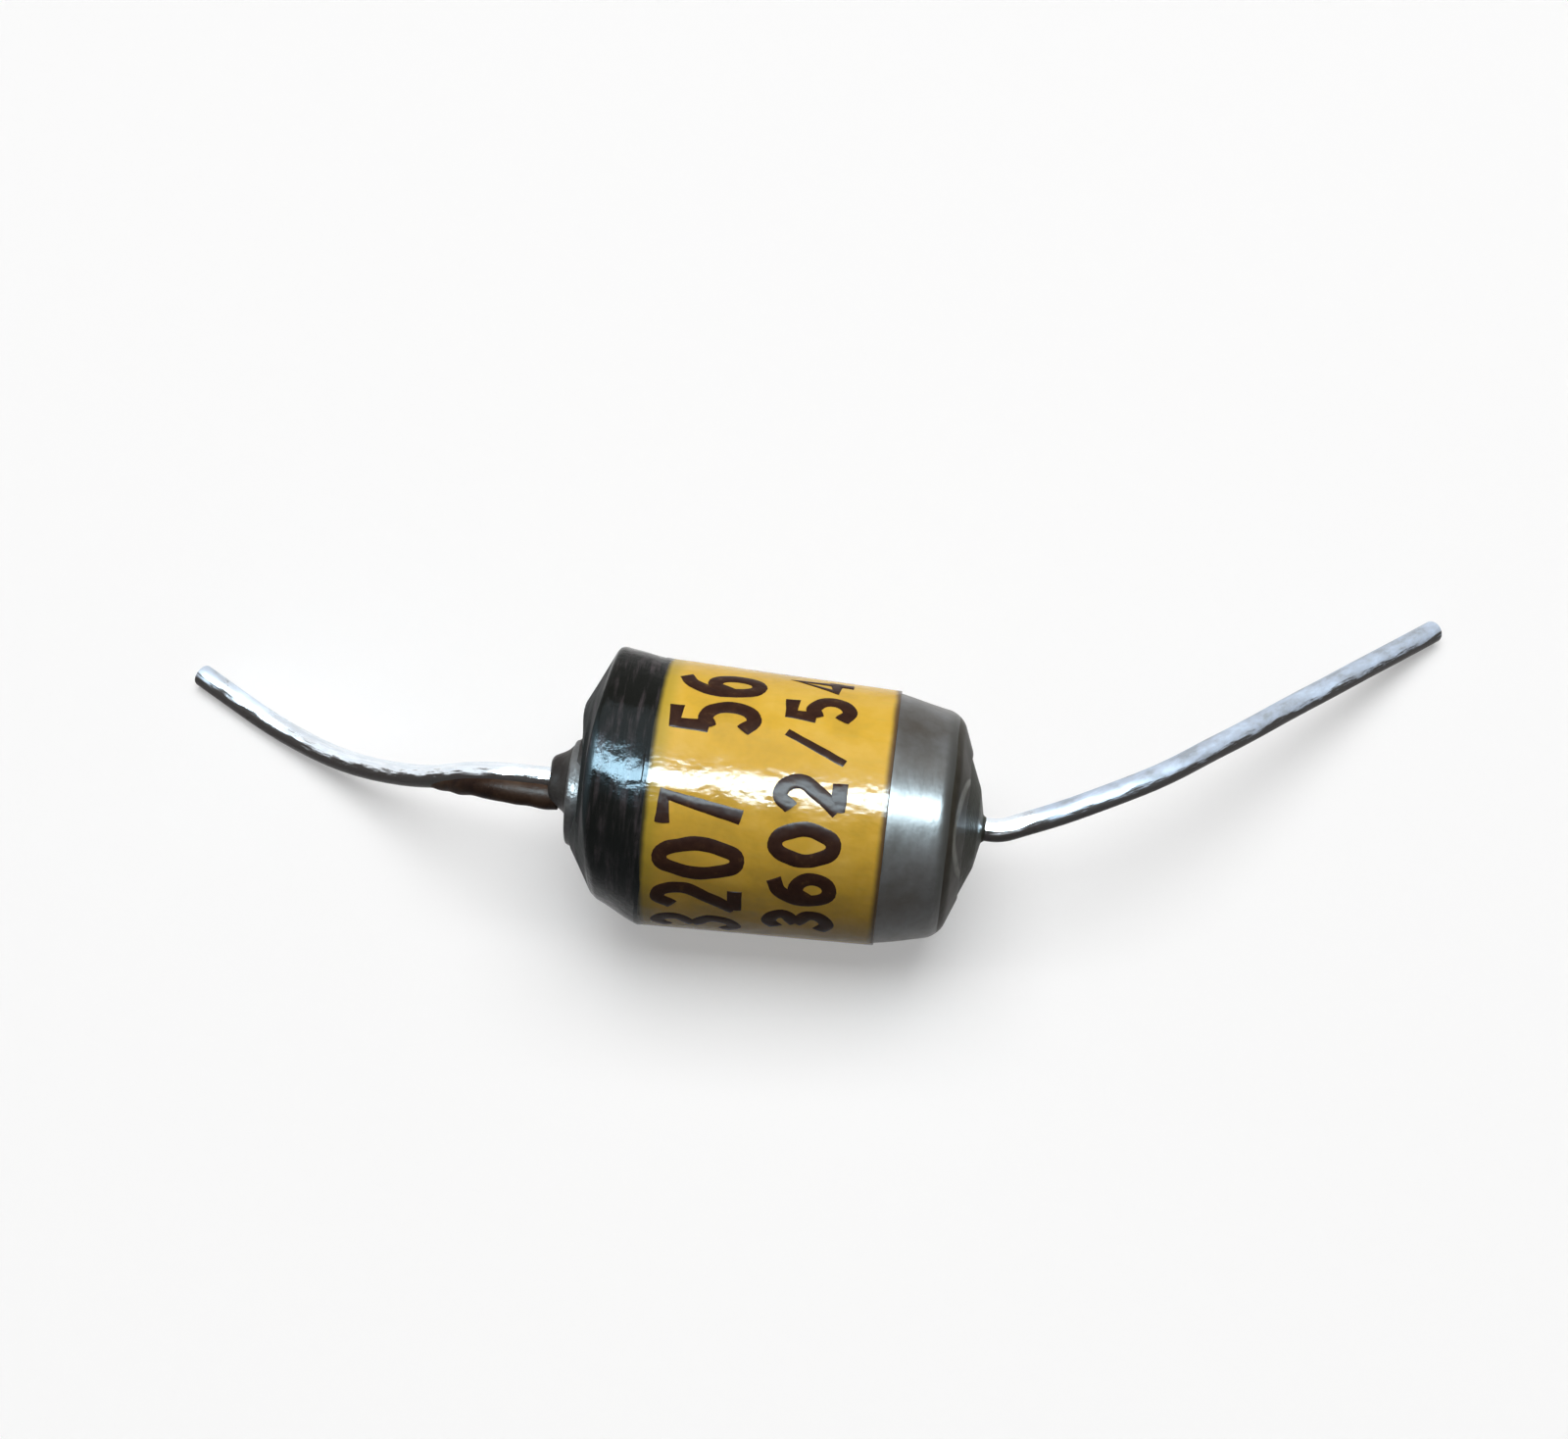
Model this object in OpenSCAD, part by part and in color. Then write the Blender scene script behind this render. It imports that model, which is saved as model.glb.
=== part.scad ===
// Axial film-and-foil capacitor, wrapped in shrunk film, lying on its side.
// Every piece is drawn along the body's own axis, with z = 0 at the middle of the label,
// and is then laid over so that the axis runs along +X and the tapered side rests level.

/* [Label] */
// Diameter over the label at its left edge
label_d_left = 6.74; // [6.2:0.02:7.4]
// Diameter over the label at its right edge
label_d_right = 6.41; // [6.1:0.02:6.7]
// Length of the printed label along the body
label_len = 5.9; // [5:0.1:8]
// Thickness of the label film
label_t = 0.06; // [0.04:0.01:0.1]

/* [Film wrap] */
// Wall of the clear film that is shrunk over the roll
wrap_t = 0.14; // [0.08:0.01:0.2]
// Length of the bare shoulder between the label and the right corner
right_shoulder_len = 1.57; // [1.2:0.01:2]
// Diameter at the right corner, where the film turns in
right_corner_d = 5.62; // [5.2:0.02:5.8]
// Rise of the drawn-in right end, in degrees from the end plane
right_end_rise = 21; // [14:1:28]
// Diameter of the hole that the film leaves at the right end
right_mouth_d = 3.7; // [3.3:0.1:4]
// Length of the hidden shoulder between the label and the left corner
left_shoulder_len = 1.0; // [0.9:0.05:1.1]
// Diameter at the left corner, under the marking band
left_corner_d = 5.4; // [5.2:0.02:5.5]
// Rise of the drawn-in left end, in degrees from the end plane
left_end_rise = 30; // [26:1:32]
// Diameter of the hole that the film leaves at the left end
left_mouth_d = 3; // [2.8:0.1:3.2]
// Rounding of the corners where the film turns in
corner_radius = 0.34; // [0.25:0.01:0.45]

/* [Marking band] */
// Length of the black band from the label to its corner
band_len = 1.2; // [1.15:0.01:1.5]
// Diameter of the band at its corner
band_corner_d = 6.38; // [6.2:0.02:6.6]
// Length of the bevel from the corner to the flat end of the band
band_bevel_len = 0.72; // [0.7:0.01:1]
// Diameter of the flat end of the band
band_end_d = 3.8; // [3.6:0.1:4]
// How far the corner of the band sits off the body's axis
band_skew_dist = 0.355; // [0:0.005:0.4]
// Direction of that offset round the axis: 0 is straight down, 90 is to the back
band_skew_turn = 125; // [0:5:355]
// Rounding of the band's corner
band_edge_radius = 0.3; // [0.15:0.05:0.5]

/* [Roll] */
// Distance from the middle of the label to the left face of the roll
roll_left = 3.2; // [3.05:0.05:3.3]
// Distance from the middle of the label to the right face of the roll
roll_right = 3.6; // [3.4:0.05:3.7]
// Diameter of the hole that the winding pin leaves in the roll
roll_bore_d = 1; // [0.6:0.1:1.4]
// Thickness of the metal layer that joins the turns at each face
contact_t = 0.18; // [0.1:0.02:0.24]
// Height of the solder over the contact layer
solder_h = 0.34; // [0.25:0.01:0.4]
// Diameter of the pool of solder that holds the foot of the lead
solder_d = 3.6; // [3.3:0.1:4]

/* [End seals] */
// Distance from the middle of the label to the point of the right seal
right_seal_reach = 5.49; // [5.4:0.01:5.7]
// Rounding of the resin that creeps up the right lead
creep_radius = 0.2; // [0.1:0.05:0.3]
// Diameter of the resin in the hole of the marking band
seal_neck_d = 2.4; // [2:0.1:2.6]
// Diameter of the bead of resin pressed out at the left end
bead_d = 2.6; // [2.2:0.1:2.8]
// Thickness of that bead
bead_t = 0.18; // [0.14:0.02:0.4]
// How far the bead sagged off the axis before it set
bead_sag_dist = 0.28; // [0:0.02:0.4]
// Direction of the sag round the axis: 0 is straight down, 90 is to the back
bead_sag_turn = 305; // [0:5:355]
// Diameter at the root of the resin nub on the left lead
nub_d = 2.3; // [1.6:0.05:2.35]
// Diameter of the blunt tip of that nub
nub_tip_d = 1.15; // [1:0.05:1.4]
// Length of that nub from the end of the band
nub_len = 0.72; // [0.6:0.02:0.9]
// Rounding of the tip of that nub
nub_edge_radius = 0.12; // [0.05:0.01:0.15]
// Length of the resin that ran out along the left lead
resin_run_len = 3.9; // [1:0.1:4.2]
// Depth of that run under the lead, at the nub
resin_run_t = 0.46; // [0.3:0.02:0.6]
// Width of that run at the nub
resin_run_w = 0.72; // [0.6:0.02:0.9]

/* [Leads] */
// Diameter of the tinned wire
lead_d = 0.6; // [0.5:0.05:0.7]
// How much thinner the wire is where it is bent
bend_thinning = 0.012; // [0.008:0.002:0.03]
// Bare straight stretch between the left nub and the first bend
left_neck_len = 0.6; // [0.3:0.01:1]
// First bend of the left lead, towards the bench
left_drop_angle = 42; // [20:1:50]
// Radius of that bend
left_drop_radius = 2.7; // [2:0.1:4]
// Direction of that bend: 0 is straight down, negative leans to the back
left_drop_turn = -21.5; // [-60:0.5:0]
// Straight stretch between the two bends of the left lead
left_run_len = 0.6; // [0.3:0.05:2]
// Second bend of the left lead, which levels it along the bench
left_sweep_angle = 39; // [20:1:50]
// Radius of that bend
left_sweep_radius = 10.3; // [6:0.1:14]
// Turn of that bend from the first one
left_sweep_turn = -131; // [-160:1:-100]
// Straight end of the left lead
left_tail_len = 2.1; // [2:0.1:12]
// Bare straight stretch between the right seal and the first bend
right_neck_len = 0.06; // [0.05:0.01:1]
// First bend of the right lead, to the back
right_kick_angle = 23.5; // [10:0.5:40]
// Radius of that bend
right_kick_radius = 1.2; // [1:0.1:3]
// Direction of that bend: 0 is straight down, 90 is to the back
right_kick_turn = 115.5; // [60:0.5:130]
// Straight stretch between the two bends of the right lead
right_run_len = 0.95; // [0.5:0.05:2]
// Second bend of the right lead, to the back and down to the bench
right_sweep_angle = 34.5; // [20:0.5:45]
// Radius of that bend
right_sweep_radius = 7.3; // [5:0.1:12]
// Turn of that bend from the first one
right_sweep_turn = -68.5; // [-90:0.5:-40]
// Straight end of the right lead
right_tail_len = 10; // [3:0.5:20]

/* [Foot of each lead] */
// Radius of the bend that lays the wire flat on the contact layer
foot_bend_radius = 0.45; // [0.4:0.05:0.5]
// Radius of the tight turn at the start of the hook
foot_turn_radius = 0.35; // [0.35:0.05:0.45]
// Radius of the hook
foot_hook_radius = 0.8; // [0.7:0.05:0.9]
// How far round the hook goes, in degrees
foot_hook_angle = 200; // [120:10:210]
// Solder left under the hook
foot_gap_t = 0.03; // [0.02:0.01:0.05]

/* [Hidden] */
$fn = 64;

// The body tapers evenly over the label, so it leans by that taper when it lies on its side.
half_label = label_len / 2;
taper = (label_d_left - label_d_right) / 2 / label_len;
lean = atan(taper);

lead_r = lead_d / 2;
arc_steps = 6;
sliver = 0.01;
bend_lap = 0.05;

// How far a cutter, or the line that guides a rounding, runs past the piece.
run_past = 1;

// The resin run is made of rounded stretches, end to end. It starts this far inside the nub, and at
// its far end it has this radius and is this deep inside the lead.
run_stretches = 6;
run_root = 0.3;
run_thin_r = 0.2;
run_fade = 0.04;

// Places along the axis, from left to right.
band_corner_z = -half_label - band_len;
band_end_z = band_corner_z - band_bevel_len;
left_corner_z = -half_label - left_shoulder_len;
left_mouth_z = left_corner_z - (left_corner_d - left_mouth_d) / 2 * tan(left_end_rise);
left_face_z = -roll_left - contact_t;
right_face_z = roll_right + contact_t;
right_corner_z = half_label + right_shoulder_len;
right_mouth_z = right_corner_z + (right_corner_d - right_mouth_d) / 2 * tan(right_end_rise);
nub_tip_z = band_end_z - nub_len;

// Outside of the film wrap as [radius, z], from the left mouth to the right one.
film_line = [
    [left_mouth_d / 2, left_mouth_z],
    [left_corner_d / 2, left_corner_z],
    [label_d_left / 2 - label_t, -half_label],
    [label_d_right / 2 - label_t, half_label],
    [right_corner_d / 2, right_corner_z],
    [right_mouth_d / 2, right_mouth_z]
];

// Bends of each lead as [straight before it, turn round the wire, angle, radius].
left_bends = [
    [left_neck_len, left_drop_turn, left_drop_angle, left_drop_radius],
    [left_run_len, left_sweep_turn, left_sweep_angle, left_sweep_radius]
];
right_bends = [
    [right_neck_len, right_kick_turn, right_kick_angle, right_kick_radius],
    [right_run_len, right_sweep_turn, right_sweep_angle, right_sweep_radius]
];
foot_bends = [
    [0, 0, 90, foot_bend_radius],
    [0, 90, 90, foot_turn_radius],
    [0, 0, foot_hook_angle, foot_hook_radius]
];
foot_rise = foot_gap_t + lead_r + foot_bend_radius;

function unit(v) = v / norm(v);

// Normal of the segment p-q, on the side of the axis for a line that runs towards +z.
function inward(p, q) = let (d = unit(q - p)) [-d[1], d[0]];

// The line moved towards the axis by t, all along its length.
function inset(line, t) = [
    for (i = [0 : len(line) - 1])
        let (last = len(line) - 1,
             a = inward(line[max(i - 1, 0)], line[max(i, 1)]),
             b = inward(line[min(i, last - 1)], line[min(i + 1, last)]))
        line[i] + (a + b) / (1 + a * b) * t
];

function short_way(angle) = angle > 180 ? angle - 360 : angle < -180 ? angle + 360 : angle;

// Points of the arc of radius r that rounds the corner b between a and c.
function rounded(a, b, c, r) =
    let (u = unit(a - b),
         v = unit(c - b),
         half = acos(u * v) / 2,
         centre = b + unit(u + v) * r / sin(half),
         from = b + u * r / tan(half) - centre,
         to = b + v * r / tan(half) - centre,
         start = atan2(from[1], from[0]),
         sweep = short_way(atan2(to[1], to[0]) - start))
    [for (i = [0 : arc_steps])
        centre + r * [cos(start + sweep * i / arc_steps), sin(start + sweep * i / arc_steps)]];

// The film's line with its two turned-in corners rounded.
function film_round(line, r) = concat(
    [line[0]],
    rounded(line[0], line[1], line[2], r),
    [line[2], line[3]],
    rounded(line[3], line[4], line[5], r),
    [line[5]]
);

film_outside = film_round(film_line, corner_radius);
film_inside = film_round(inset(film_line, wrap_t), corner_radius - wrap_t);

function first(line) = line[0];
function last(line) = line[len(line) - 1];
function reversed(line) = [for (i = [len(line) - 1 : -1 : 0]) line[i]];

// Half-round edge of the film from point a on its outside to point b on its inside.
function half_round(a, b) =
    let (middle = (a + b) / 2,
         start = atan2((a - middle)[1], (a - middle)[0]))
    [for (i = [1 : arc_steps - 1])
        middle + norm(a - b) / 2 * [cos(start + 180 * i / arc_steps),
                                    sin(start + 180 * i / arc_steps)]];

right_rim = half_round(last(film_outside), last(film_inside));

// Radius of a line at height z, and the stretch of it between two heights.
function radius_at(line, z) = lookup(z, [for (p = line) [p[1], p[0]]]);
function between(line, low, high) = concat(
    [[radius_at(line, low), low]],
    [for (p = line) if (p[1] > low && p[1] < high) p],
    [[radius_at(line, high), high]]
);

// Top of the solder pool as [radius, height over the contact layer], from the rim inwards.
solder_line = [
    [solder_d / 2, 0],
    [solder_d * 0.45, solder_h * 0.45],
    [solder_d * 0.34, solder_h * 0.85],
    [solder_d * 0.2, solder_h]
];
function solder_on(face_z, side) = [for (p = solder_line) [p[0], face_z + side * p[1]]];

module laid() {
    rotate([0, 90 + lean, 0]) children();
}

module revolved(outline) {
    rotate_extrude() polygon(outline);
}

// One bend: the wire comes in along +z and leaves turned towards +x.
module bend(angle, radius) {
    translate([radius, 0, 0]) rotate([90, 0, 180])
        rotate_extrude(angle = angle) translate([radius, 0]) circle(d = lead_d - bend_thinning);
}

// Straight wire along +z. It tapers into the thinner bend before it, and into one after it.
module straight_wire(length, bend_after) {
    thin_r = lead_r - bend_thinning;
    far_end = bend_after ? [[thin_r, length + bend_lap], [0, length + bend_lap]] : [[0, length]];
    revolved(concat(
        [[0, -bend_lap], [thin_r, -bend_lap], [lead_r, 0], [lead_r, length]],
        far_end
    ));
}

// Wire along +z through the bends left in the list, ending in a straight tail.
module wire(bends, tail, i = 0) {
    bend_after = i < len(bends);
    length = bend_after ? bends[i][0] : tail;
    if (length > 0)
        straight_wire(length, bend_after);
    if (bend_after) {
        angle = bends[i][2];
        radius = bends[i][3];
        translate([0, 0, length]) rotate([0, 0, bends[i][1]]) {
            bend(angle, radius);
            translate([radius * (1 - cos(angle)), 0, radius * sin(angle)])
                rotate([0, angle, 0]) wire(bends, tail, i + 1);
        }
    }
}

// A whole lead: the hooked foot on the contact layer, the stem in the resin and the bends outside.
module lead(face, exit, bends, tail) {
    stem = exit - face - foot_rise;
    translate([0, 0, face + foot_rise]) {
        rotate([180, 0, 0]) wire(foot_bends, 0);
        wire([bends[0] + [stem, 0, 0, 0], bends[1]], tail);
    }
}

module left_lead_on_axis() {
    rotate([0, 180, 180]) lead(-left_face_z, -nub_tip_z, left_bends, left_tail_len);
}

module right_lead_on_axis() {
    lead(right_face_z, right_seal_reach, right_bends, right_tail_len);
}

// The roll of film and foil, squeezed in at its ends by the wrap, with the winding pin's hole.
module winding() {
    color([0.62, 0.63, 0.62]) laid() revolved(concat(
        [[roll_bore_d / 2, -roll_left]],
        between(film_inside, -roll_left, roll_right),
        [[roll_bore_d / 2, roll_right]]
    ));
}

// Metal layer over the left face of the roll, with the solder round the foot of the lead.
module contact_left() {
    color([0.72, 0.72, 0.7]) laid() difference() {
        revolved(concat(
            [[0, -roll_left], [0, left_face_z - solder_h]],
            reversed(solder_on(left_face_z, -1)),
            between(film_inside, left_face_z, -roll_left)
        ));
        left_lead_on_axis();
    }
}

module contact_right() {
    color([0.72, 0.72, 0.7]) laid() difference() {
        revolved(concat(
            [[0, roll_right]],
            between(film_inside, roll_right, right_face_z),
            solder_on(right_face_z, 1),
            [[0, right_face_z + solder_h]]
        ));
        right_lead_on_axis();
    }
}

module lead_left() {
    color([0.78, 0.8, 0.83]) laid() left_lead_on_axis();
}

module lead_right() {
    color([0.78, 0.8, 0.83]) laid() right_lead_on_axis();
}

// Clear film, shrunk tight: a tapered sleeve that turns in over both ends, open at the mouths.
module film_wrap() {
    color([0.58, 0.59, 0.58]) laid() revolved(concat(
        film_outside, right_rim, reversed(film_inside)
    ));
}

module label_band() {
    color([0.86, 0.69, 0.24]) laid() revolved([
        [label_d_left / 2 - label_t, -half_label],
        [label_d_left / 2, -half_label],
        [label_d_right / 2, half_label],
        [label_d_right / 2 - label_t, half_label]
    ]);
}

// Outline of the black band before it is skewed, from the label to its flat end.
band_line = concat(
    [[label_d_left / 2, -half_label - sliver]],
    rounded([label_d_left / 2, -half_label], [band_corner_d / 2, band_corner_z],
            [band_end_d / 2, band_end_z], band_edge_radius),
    [[band_end_d / 2, band_end_z]]
);

// Share of the skew at height z: it grows from the label to the corner and stays half at the end.
function skew_at(z) = band_skew_dist * (z > band_corner_z
    ? (-half_label - z) / band_len
    : 1 - (band_corner_z - z) / band_bevel_len / 2);

// Black lacquer over the left shoulder and end, thicker on one side, where it ran before it dried.
module marking_band() {
    color([0.1, 0.1, 0.1]) laid() difference() {
        hull() for (p = band_line)
            rotate([0, 0, band_skew_turn]) translate([skew_at(p[1]), 0, p[1]])
                cylinder(r = p[0], h = sliver);
        revolved(concat([[0, first(film_outside)[1]]],
                        between(film_outside, first(film_outside)[1], 0), [[0, 0]]));
        translate([0, 0, band_end_z - run_past])
            cylinder(d = seal_neck_d, h = run_past + band_bevel_len);
    }
}

// Place of its children on the left lead, at that distance past the nub.
module on_left_lead(run) {
    straight = min(run, left_neck_len);
    angle = min((run - straight) / left_drop_radius * 180 / PI, left_drop_angle);
    rest = run - straight - left_drop_radius * angle * PI / 180;
    rotate([0, 180, 180]) translate([0, 0, -nub_tip_z + straight]) rotate([0, 0, left_drop_turn])
        translate([left_drop_radius * (1 - cos(angle)), 0, left_drop_radius * sin(angle)])
            rotate([0, angle, 0]) translate([0, 0, rest]) rotate([0, 0, -left_drop_turn])
                children();
}

// Ball of the resin run: it hangs from the lead to the side where the bead sagged.
module run_ball(i) {
    run = resin_run_len * i / run_stretches - run_root * (1 - i / run_stretches);
    fullness = cos(90 * max(run, 0) / resin_run_len);
    depth = (resin_run_t + run_fade) * fullness - run_fade;
    ball_r = run_thin_r + (resin_run_w / 2 - run_thin_r) * fullness;
    on_left_lead(run) rotate([0, 0, -bead_sag_turn])
        translate([lead_r + depth - ball_r, 0, 0]) sphere(r = ball_r, $fn = 16);
}

// Resin plug of the left end, with the sagged bead, the nub round the lead and the run beyond it.
module end_seal_left() {
    bead_edge_radius = bead_t / 3;
    color([0.22, 0.22, 0.21]) laid() difference() {
        union() {
            revolved(concat(
                [[0, nub_tip_z]],
                rounded([0, nub_tip_z], [nub_tip_d / 2, nub_tip_z],
                        [nub_d / 2, band_end_z], nub_edge_radius),
                [[nub_d / 2, band_end_z],
                 [seal_neck_d / 2, band_end_z],
                 [seal_neck_d / 2, first(film_outside)[1]],
                 first(film_outside)],
                between(film_inside, first(film_inside)[1], left_face_z),
                solder_on(left_face_z, -1),
                [[0, left_face_z - solder_h]]
            ));
            rotate([0, 0, bead_sag_turn]) translate([bead_sag_dist, 0, band_end_z - bead_t])
                revolved(concat(
                    [[0, 0]],
                    rounded([0, 0], [bead_d / 2, 0], [bead_d / 2, bead_t], bead_edge_radius),
                    [[bead_d / 2, bead_t], [0, bead_t]]
                ));
            for (i = [0 : run_stretches - 1]) hull() {
                run_ball(i);
                run_ball(i + 1);
            }
        }
        left_lead_on_axis();
    }
}

// Resin cone of the right end, from the film's rim up to the lead.
module end_seal_right() {
    color([0.3, 0.3, 0.27]) laid() difference() {
        revolved(concat(
            [[0, right_face_z + solder_h]],
            reversed(solder_on(right_face_z, 1)),
            between(film_inside, right_face_z, last(film_inside)[1]),
            [for (i = [len(right_rim) - 1 : -1 : floor(len(right_rim) / 2)]) right_rim[i]],
            rounded(last(film_outside), [lead_r, right_seal_reach],
                    [lead_r, right_seal_reach + run_past], creep_radius),
            [[0, right_seal_reach + creep_radius]]
        ));
        right_lead_on_axis();
    }
}

winding();
contact_left();
contact_right();
lead_left();
lead_right();
film_wrap();
label_band();
marking_band();
end_seal_left();
end_seal_right();
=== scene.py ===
import math

import bmesh
import bpy
from mathutils import Matrix, Vector, noise


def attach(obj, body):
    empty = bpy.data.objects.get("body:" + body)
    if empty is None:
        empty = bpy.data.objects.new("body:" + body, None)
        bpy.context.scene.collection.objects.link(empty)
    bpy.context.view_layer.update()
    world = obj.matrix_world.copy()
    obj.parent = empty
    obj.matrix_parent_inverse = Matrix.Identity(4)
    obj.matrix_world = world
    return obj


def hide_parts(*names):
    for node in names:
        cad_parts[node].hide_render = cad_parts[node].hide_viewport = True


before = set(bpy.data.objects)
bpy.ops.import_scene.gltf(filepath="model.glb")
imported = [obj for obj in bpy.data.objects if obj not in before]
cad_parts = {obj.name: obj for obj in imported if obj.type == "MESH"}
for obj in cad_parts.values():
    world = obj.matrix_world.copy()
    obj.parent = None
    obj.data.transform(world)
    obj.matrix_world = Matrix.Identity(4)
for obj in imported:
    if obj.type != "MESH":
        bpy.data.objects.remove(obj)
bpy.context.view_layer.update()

# ---- Winding ---------------------------------------------------------------------------------
# Long strips of plastic film and aluminium foil, rolled tight on a pin that is then pulled out.
# It is sealed inside the wrap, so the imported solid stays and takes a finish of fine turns.

MM = 0.001
LABEL_D_LEFT = 6.74
LABEL_D_RIGHT = 6.41
LABEL_LEN = 5.9
HALF_LABEL = LABEL_LEN / 2

# Radians of the ripple that stands for the roll's turns, for each millimetre of radius.
TURN_WAVES = 160

# The body tapers evenly over the label, so it leans by that taper when it lies on its side.
LEAN = math.atan((LABEL_D_LEFT - LABEL_D_RIGHT) / 2 / LABEL_LEN)

# Turns a piece drawn in millimetres along its own axis into its place, lying on its tapered side.
LAID = Matrix.Scale(MM, 4) @ Matrix.Rotation(math.radians(90) + LEAN, 4, "Y")


def new_finish(name, **sockets):
    """A material whose shader has these plain numbers and colours set on its own sockets."""
    finish = bpy.data.materials.new(name)
    finish.use_nodes = True
    shader = finish.node_tree.nodes["Principled BSDF"]
    for socket, value in sockets.items():
        shader.inputs[socket.replace("_", " ")].default_value = value
    return finish


def add(finish, kind, inputs=None, **settings):
    """A node of that kind. Inputs are plain values, or sockets of other nodes."""
    node = finish.node_tree.nodes.new("ShaderNode" + kind)
    for setting, value in settings.items():
        setattr(node, setting, value)
    for socket, value in (inputs or {}).items():
        if isinstance(value, bpy.types.NodeSocket):
            finish.node_tree.links.new(value, node.inputs[socket])
        else:
            node.inputs[socket].default_value = value
    return node


def join(finish, value, socket):
    """Links a node's output to a socket of the material's shader."""
    shader = finish.node_tree.nodes["Principled BSDF"]
    finish.node_tree.links.new(value, shader.inputs[socket])


def along_axis(finish):
    """Object coordinates turned back to the part's own axis, in millimetres: x and y across, z along."""
    place = add(finish, "TexCoord").outputs["Object"]
    return add(finish, "Mapping", {
        "Vector": place,
        "Rotation": (0, -math.radians(90) - LEAN, 0),
        "Scale": (1 / MM, 1 / MM, 1 / MM),
    }).outputs["Vector"]


def speckle(finish, vector, scale, detail=3, rough=0.6, stretch=(1, 1, 1)):
    """Noise from 0 to 1, with the pattern's coordinates multiplied by stretch."""
    wider = add(finish, "VectorMath", {0: vector, 1: stretch}, operation="MULTIPLY")
    return add(finish, "TexNoise", {
        "Vector": wider.outputs["Vector"], "Scale": scale, "Detail": detail, "Roughness": rough,
    }).outputs["Fac"]


def ramp(finish, value, *stops):
    """A colour ramp over a value; each stop is a place and a colour."""
    node = add(finish, "ValToRGB", {"Fac": value})
    colours = node.color_ramp.elements
    while len(colours) < len(stops):
        colours.new(0.5)
    for colour, (place, rgb) in zip(colours, stops):
        colour.position = place
        colour.color = (*rgb, 1) if len(rgb) == 3 else rgb
    return node.outputs["Color"]


def level(finish, value, low, high, to_low=0.0, to_high=1.0):
    """The value's range from low to high, stretched to another range and held at its ends."""
    return add(finish, "MapRange", {
        "Value": value, "From Min": low, "From Max": high, "To Min": to_low, "To Max": to_high,
    }, interpolation_type="SMOOTHSTEP").outputs["Result"]


def blend(finish, share, one, other, how="MIX"):
    """One colour changed into another by a share from 0 to 1."""
    return add(finish, "Mix", {"Factor": share, 6: one, 7: other},
               data_type="RGBA", blend_type=how).outputs[2]


def sums(finish, how, one, other):
    """Two numbers added, multiplied and so on."""
    return add(finish, "Math", {0: one, 1: other}, operation=how).outputs["Value"]


def bumpy(finish, height, depth):
    """Bumps of that depth, in millimetres, as the shader's normal."""
    join(finish, add(finish, "Bump", {
        "Height": height, "Distance": depth * MM, "Strength": 1.0,
    }).outputs["Normal"], "Normal")


def refinish(node, finish):
    """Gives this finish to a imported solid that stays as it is."""
    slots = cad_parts[node].data.materials
    slots.clear()
    slots.append(finish)


rolled_film = new_finish("rolled_film", Metallic=0.8, Roughness=0.35)
across = add(rolled_film, "SeparateXYZ", {"Vector": along_axis(rolled_film)})
radius = sums(rolled_film, "SQRT", sums(
    rolled_film, "ADD",
    sums(rolled_film, "MULTIPLY", across.outputs["X"], across.outputs["X"]),
    sums(rolled_film, "MULTIPLY", across.outputs["Y"], across.outputs["Y"])), 0.0)
turns = sums(rolled_film, "SINE", sums(rolled_film, "MULTIPLY", radius, TURN_WAVES), 0.0)
join(rolled_film, ramp(rolled_film, level(rolled_film, turns, -1, 1),
                       (0, (0.42, 0.42, 0.4)), (1, (0.7, 0.7, 0.68))), "Base Color")
bumpy(rolled_film, turns, 0.004)
refinish("winding", rolled_film)

# ---- Contact layers --------------------------------------------------------------------------
# Molten metal sprayed on both faces of the roll, which joins the edges of all its turns.
# A pool of solder on each holds the foot of a lead; both are under resin, so the solids stay.

contact_metal = new_finish("contact_metal", Metallic=0.9, Roughness=0.55)
grain = speckle(contact_metal, along_axis(contact_metal), 9, detail=4)
join(contact_metal, ramp(contact_metal, grain, (0.3, (0.38, 0.38, 0.37)), (0.7, (0.66, 0.66, 0.64))),
     "Base Color")
bumpy(contact_metal, grain, 0.03)
refinish("contact_left", contact_metal)
refinish("contact_right", contact_metal)

# ---- Leads -----------------------------------------------------------------------------------
# Tinned copper wire, hooked at its foot and soldered to the contact layer before the resin is
# poured. Outside, each was bent by hand; the tin has dulled, most of all on the right lead.

LEAD_D = 0.6
LEAD_SIDES = 48
ROLL_LEFT = 3.2
ROLL_RIGHT = 3.6
CONTACT_T = 0.18
FOOT_BEND_RADIUS = 0.45
FOOT_TURN_RADIUS = 0.35
FOOT_HOOK_RADIUS = 0.8
FOOT_GAP = 0.03
FOOT_RISE = FOOT_GAP + LEAD_D / 2 + FOOT_BEND_RADIUS
LEFT_FACE = ROLL_LEFT + CONTACT_T
RIGHT_FACE = ROLL_RIGHT + CONTACT_T
BAND_LEN = 1.2
BAND_BEVEL_LEN = 0.72
BAND_END = HALF_LABEL + BAND_LEN + BAND_BEVEL_LEN
NUB_LEN = 0.72
RIGHT_SEAL_REACH = 5.49
CUT_CHAMFER = 0.05

# How far the wire strays from its smooth bends, and how soon past the resin it may.
KINK = 0.02
KINK_FROM = 2

# Without a seed, noise vectors differ from run to run. They shape the leads and the left nub.
noise.seed_set(1)

# Longest stretch of wire between two rings of corners, and the widest turn, in degrees.
STRAIGHT_STEP = 0.25
BEND_STEP = 3

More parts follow.
